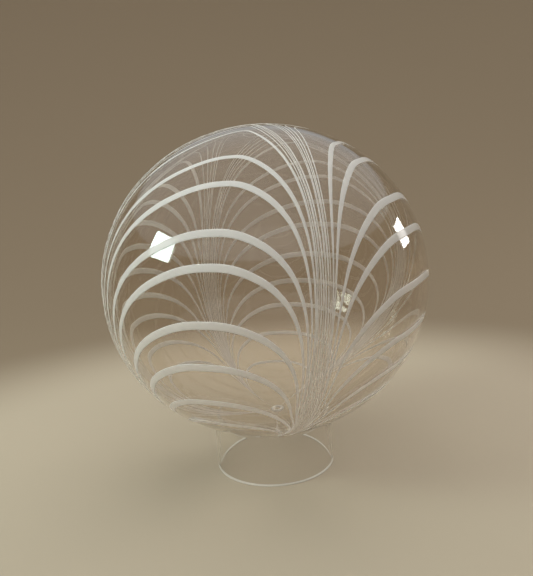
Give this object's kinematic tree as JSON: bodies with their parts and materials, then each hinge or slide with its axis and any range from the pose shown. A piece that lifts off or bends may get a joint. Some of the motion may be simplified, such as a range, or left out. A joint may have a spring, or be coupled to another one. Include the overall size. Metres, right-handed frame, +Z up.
{
  "type": "glass witch ball on a ring stand",
  "caption": "Large sealed ball of clear blown glass with pulled loops of white thread, standing in a short open ring of clear glass.",
  "frame": {"origin": "middle of the ring stand's underside, directly below the middle of the ball", "axes": "+Z up; the front, where the ball's blowing axis leans towards the viewer at its top, faces -Y; +X to the viewer's right"},
  "size_m": [0.15, 0.1498, 0.1613],
  "materials": {
    "ball_glass": "clear polished blown glass",
    "ring_glass": "clear glass with fire-rounded rims",
    "white_thread": "opaque white glass thread melted into the ball's wall"
  },
  "bodies": {
    "root": {"glass_ball": "ball_glass", "ring_stand": "ring_glass"}
  },
  "joints": []
}
